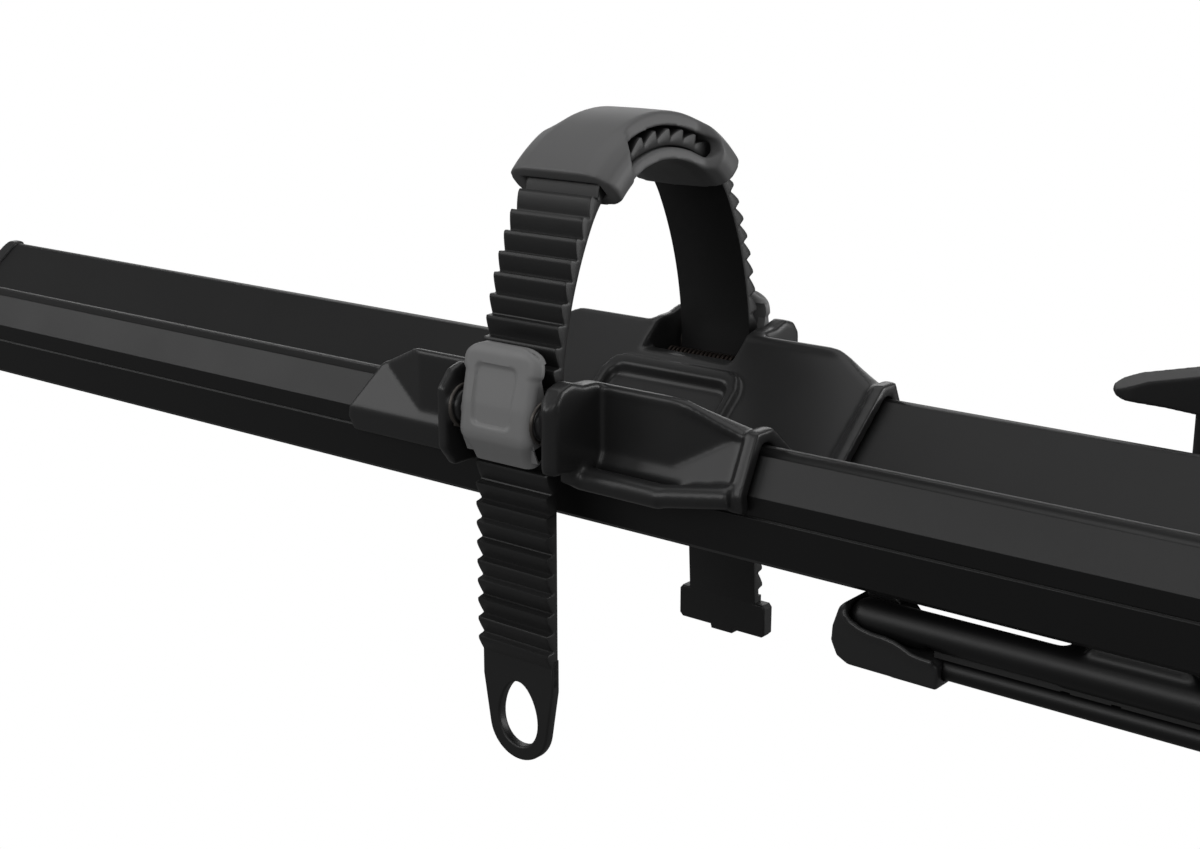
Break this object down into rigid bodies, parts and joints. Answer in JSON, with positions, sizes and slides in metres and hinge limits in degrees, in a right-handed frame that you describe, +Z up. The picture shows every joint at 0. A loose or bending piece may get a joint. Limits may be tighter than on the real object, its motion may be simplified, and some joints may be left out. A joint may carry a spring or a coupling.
{
  "type": "roof mounted bike carrier",
  "caption": "Upright roof carrier for one bicycle: a ribbed wheel tray on two crossbar clamps, sliding wheel holders with ratchet straps, and a folding frame-tube clamp.",
  "frame": {"origin": "centre of the rear crossbar seat, level with the underside of the seat rubbers", "axes": "+X along the tray to the front of the car, +Y to the car's left, +Z up"},
  "size_m": [1.462, 0.1434, 0.1808],
  "materials": {
    "black_metal": "satin",
    "black_plastic": "matte",
    "black_rubber": "matte",
    "strap_rubber": "satin",
    "grey_plastic": "matte",
    "plated_wire": "satin",
    "brass": "satin",
    "zinc_steel": "satin"
  },
  "bodies": {
    "tray": {"wheel_tray": "black_metal", "rear_end_cap": "black_plastic", "front_end_cap": "black_plastic", "rear_clamp_frame": "black_metal", "rear_seat_rubbers": "black_rubber", "rear_hinge_pin": "zinc_steel", "rear_clamp_screws": "zinc_steel", "rear_slot_nuts": "zinc_steel", "front_clamp_frame": "black_metal", "front_seat_rubbers": "black_rubber", "front_hinge_pin": "zinc_steel", "front_clamp_screws": "zinc_steel", "front_slot_nuts": "zinc_steel", "arm_base": "black_metal", "arm_base_screws": "zinc_steel", "arm_base_nuts": "zinc_steel", "arm_hinge_pin": "zinc_steel"},
    "rear_jaw": {"rear_clamp_jaw": "black_metal", "rear_jaw_blocks": "black_plastic"},
    "rear_bolt": {"rear_clamp_bolt": "zinc_steel"},
    "rear_knob": {"rear_clamp_knob": "black_plastic", "rear_knob_insert": "brass"},
    "front_jaw": {"front_clamp_jaw": "black_metal", "front_jaw_blocks": "black_plastic"},
    "front_bolt": {"front_clamp_bolt": "zinc_steel"},
    "front_knob": {"front_clamp_knob": "black_plastic", "front_knob_insert": "brass"},
    "rear_holder": {"rear_saddle": "black_plastic", "rear_strap": "strap_rubber", "rear_lever_pins": "zinc_steel", "rear_lever_springs": "plated_wire", "rear_guide_springs": "plated_wire"},
    "rear_pad": {"rear_strap_pad": "grey_plastic"},
    "rear_near": {"rear_near_lever": "grey_plastic"},
    "rear_far": {"rear_far_lever": "grey_plastic"},
    "front_holder": {"front_saddle": "black_plastic", "front_strap": "strap_rubber", "front_lever_pins": "zinc_steel", "front_lever_springs": "plated_wire", "front_guide_springs": "plated_wire"},
    "front_pad": {"front_strap_pad": "grey_plastic"},
    "front_near": {"front_near_lever": "grey_plastic"},
    "front_far": {"front_far_lever": "grey_plastic"},
    "arm": {"arm_tube": "black_metal", "arm_foot": "black_metal", "arm_head": "black_metal", "jaw_pins": "zinc_steel"},
    "left_claw": {"left_jaw": "black_metal", "left_rubber": "black_rubber"},
    "right_claw": {"right_jaw": "black_metal", "right_rubber": "black_rubber"},
    "rod": {"tension_rod": "zinc_steel"},
    "torque_wheel": {"torque_knob": "black_plastic"},
    "lock": {"lock_barrel": "zinc_steel"},
    "button": {"fold_button": "grey_plastic"}
  },
  "joints": [
    {"name": "rear_knob_turn", "type": "hinge", "parent": "tray", "child": "rear_knob", "pos_m": [-0.059, 0.066, 0.01], "axis": [0, 0, 1], "range_deg": [0, 3162]},
    {"name": "rear_bolt_slide", "type": "slide", "parent": "tray", "child": "rear_bolt", "axis": [0, 0, -1], "range_m": [0, 0.01098]},
    {"name": "rear_jaw_hinge", "type": "hinge", "parent": "tray", "child": "rear_jaw", "pos_m": [-0.109, 0, 0.00515], "axis": [0, 1, 0], "range_deg": [0, 12]},
    {"name": "front_knob_turn", "type": "hinge", "parent": "tray", "child": "front_knob", "pos_m": [0.591, 0.066, 0.01], "axis": [0, 0, 1], "range_deg": [0, 3162]},
    {"name": "front_bolt_slide", "type": "slide", "parent": "tray", "child": "front_bolt", "axis": [0, 0, -1], "range_m": [0, 0.01098]},
    {"name": "front_jaw_hinge", "type": "hinge", "parent": "tray", "child": "front_jaw", "pos_m": [0.541, 0, 0.00515], "axis": [0, 1, 0], "range_deg": [0, 12]},
    {"name": "rear_holder_slide", "type": "slide", "parent": "tray", "child": "rear_holder", "axis": [1, 0, 0], "range_m": [-0.25, 0.04]},
    {"name": "rear_pad_shift", "type": "hinge", "parent": "rear_holder", "child": "rear_pad", "pos_m": [-0.21, 0, 0.07755], "axis": [1, 0, 0], "range_deg": [-12, 12]},
    {"name": "rear_near_lever_press", "type": "hinge", "parent": "rear_holder", "child": "rear_near", "pos_m": [-0.21, -0.0535, 0.04575], "axis": [-1, 0, 0], "range_deg": [0, 8], "stiffness_Nm_per_rad": 0.6, "springref_deg": -5.73},
    {"name": "rear_far_lever_press", "type": "hinge", "parent": "rear_holder", "child": "rear_far", "pos_m": [-0.21, 0.0535, 0.04575], "axis": [1, 0, 0], "range_deg": [0, 8], "stiffness_Nm_per_rad": 0.6, "springref_deg": -5.73},
    {"name": "front_holder_slide", "type": "slide", "parent": "tray", "child": "front_holder", "axis": [1, 0, 0], "range_m": [-0.01, 0.02]},
    {"name": "front_pad_shift", "type": "hinge", "parent": "front_holder", "child": "front_pad", "pos_m": [0.79, 0, 0.07755], "axis": [1, 0, 0], "range_deg": [-12, 12]},
    {"name": "front_near_lever_press", "type": "hinge", "parent": "front_holder", "child": "front_near", "pos_m": [0.79, -0.0535, 0.04575], "axis": [-1, 0, 0], "range_deg": [0, 8], "stiffness_Nm_per_rad": 0.6, "springref_deg": -5.73},
    {"name": "front_far_lever_press", "type": "hinge", "parent": "front_holder", "child": "front_far", "pos_m": [0.79, 0.0535, 0.04575], "axis": [1, 0, 0], "range_deg": [0, 8], "stiffness_Nm_per_rad": 0.6, "springref_deg": -5.73},
    {"name": "arm_fold", "type": "hinge", "parent": "tray", "child": "arm", "pos_m": [0.64, 0, 0.05615], "axis": [0, 1, 0], "range_deg": [0, 90]},
    {"name": "fold_button_press", "type": "slide", "parent": "tray", "child": "button", "axis": [0, 1, 0], "range_m": [0, 0.004], "stiffness_N_per_m": 900, "springref_m": -0.002},
    {"name": "torque_knob_turn", "type": "hinge", "parent": "arm", "child": "torque_wheel", "pos_m": [0.575, 0, 0.07415], "axis": [0, 0, 1], "range_deg": [0, 1440]},
    {"name": "rod_slide", "type": "slide", "parent": "arm", "child": "rod", "axis": [-1, 0, 0], "range_m": [0, 0.006]},
    {"name": "left_jaw_hinge", "type": "hinge", "parent": "arm", "child": "left_claw", "pos_m": [0.075, 0.012, 0.06215], "axis": [0, 0, -1], "range_deg": [0, 24]},
    {"name": "right_jaw_hinge", "type": "hinge", "parent": "arm", "child": "right_claw", "pos_m": [0.075, -0.012, 0.06215], "axis": [0, 0, 1], "range_deg": [0, 24]},
    {"name": "lock_turn", "type": "hinge", "parent": "torque_wheel", "child": "lock", "pos_m": [0.575, 0, 0.08415], "axis": [0, 0, 1], "range_deg": [0, 90]}
  ],
  "couplings": [
    {"joint": "rear_knob_turn", "follows": "rear_bolt_slide", "rad_per_m": 5026.5},
    {"joint": "rear_jaw_hinge", "follows": "rear_bolt_slide", "rad_per_m": 19.078},
    {"joint": "front_knob_turn", "follows": "front_bolt_slide", "rad_per_m": 5026.5},
    {"joint": "front_jaw_hinge", "follows": "front_bolt_slide", "rad_per_m": 19.078},
    {"joint": "torque_knob_turn", "follows": "rod_slide", "rad_per_m": 4188.8},
    {"joint": "left_jaw_hinge", "follows": "rod_slide", "rad_per_m": 69.81},
    {"joint": "right_jaw_hinge", "follows": "rod_slide", "rad_per_m": 69.81}
  ]
}
